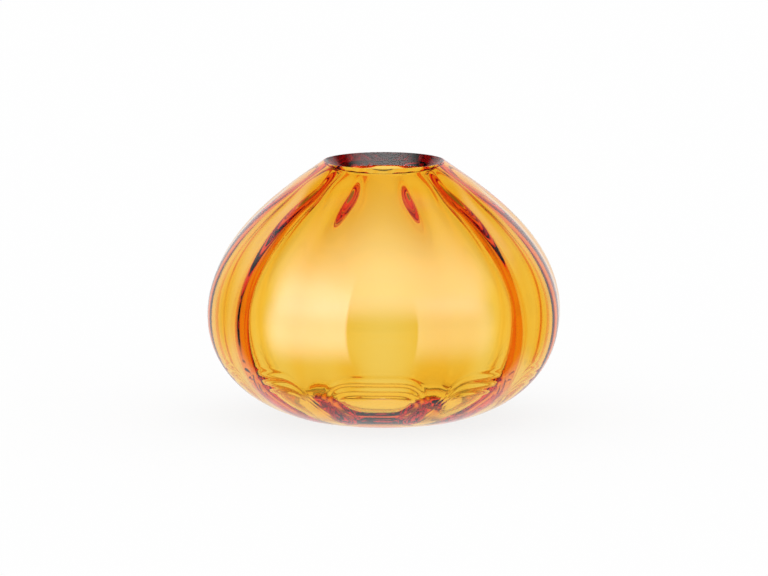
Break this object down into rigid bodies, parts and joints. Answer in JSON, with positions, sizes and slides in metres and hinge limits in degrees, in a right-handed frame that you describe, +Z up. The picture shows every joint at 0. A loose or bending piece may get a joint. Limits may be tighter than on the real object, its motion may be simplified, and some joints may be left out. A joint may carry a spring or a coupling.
{
  "type": "vase",
  "caption": "Low round vase of thick amber glass with soft, uneven upright ribs, a narrow round mouth and a flat foot; holds cut flowers or stands alone.",
  "frame": {"origin": "middle of the foot, on the plane that the vase stands on", "axes": "+Z up along the axis of the vase, the widest rib towards -Y"},
  "size_m": [0.191, 0.1932, 0.14],
  "materials": {
    "amber_glass": "polished"
  },
  "bodies": {
    "root": {"outer_gather": "amber_glass", "inner_gather": "amber_glass"}
  },
  "joints": []
}
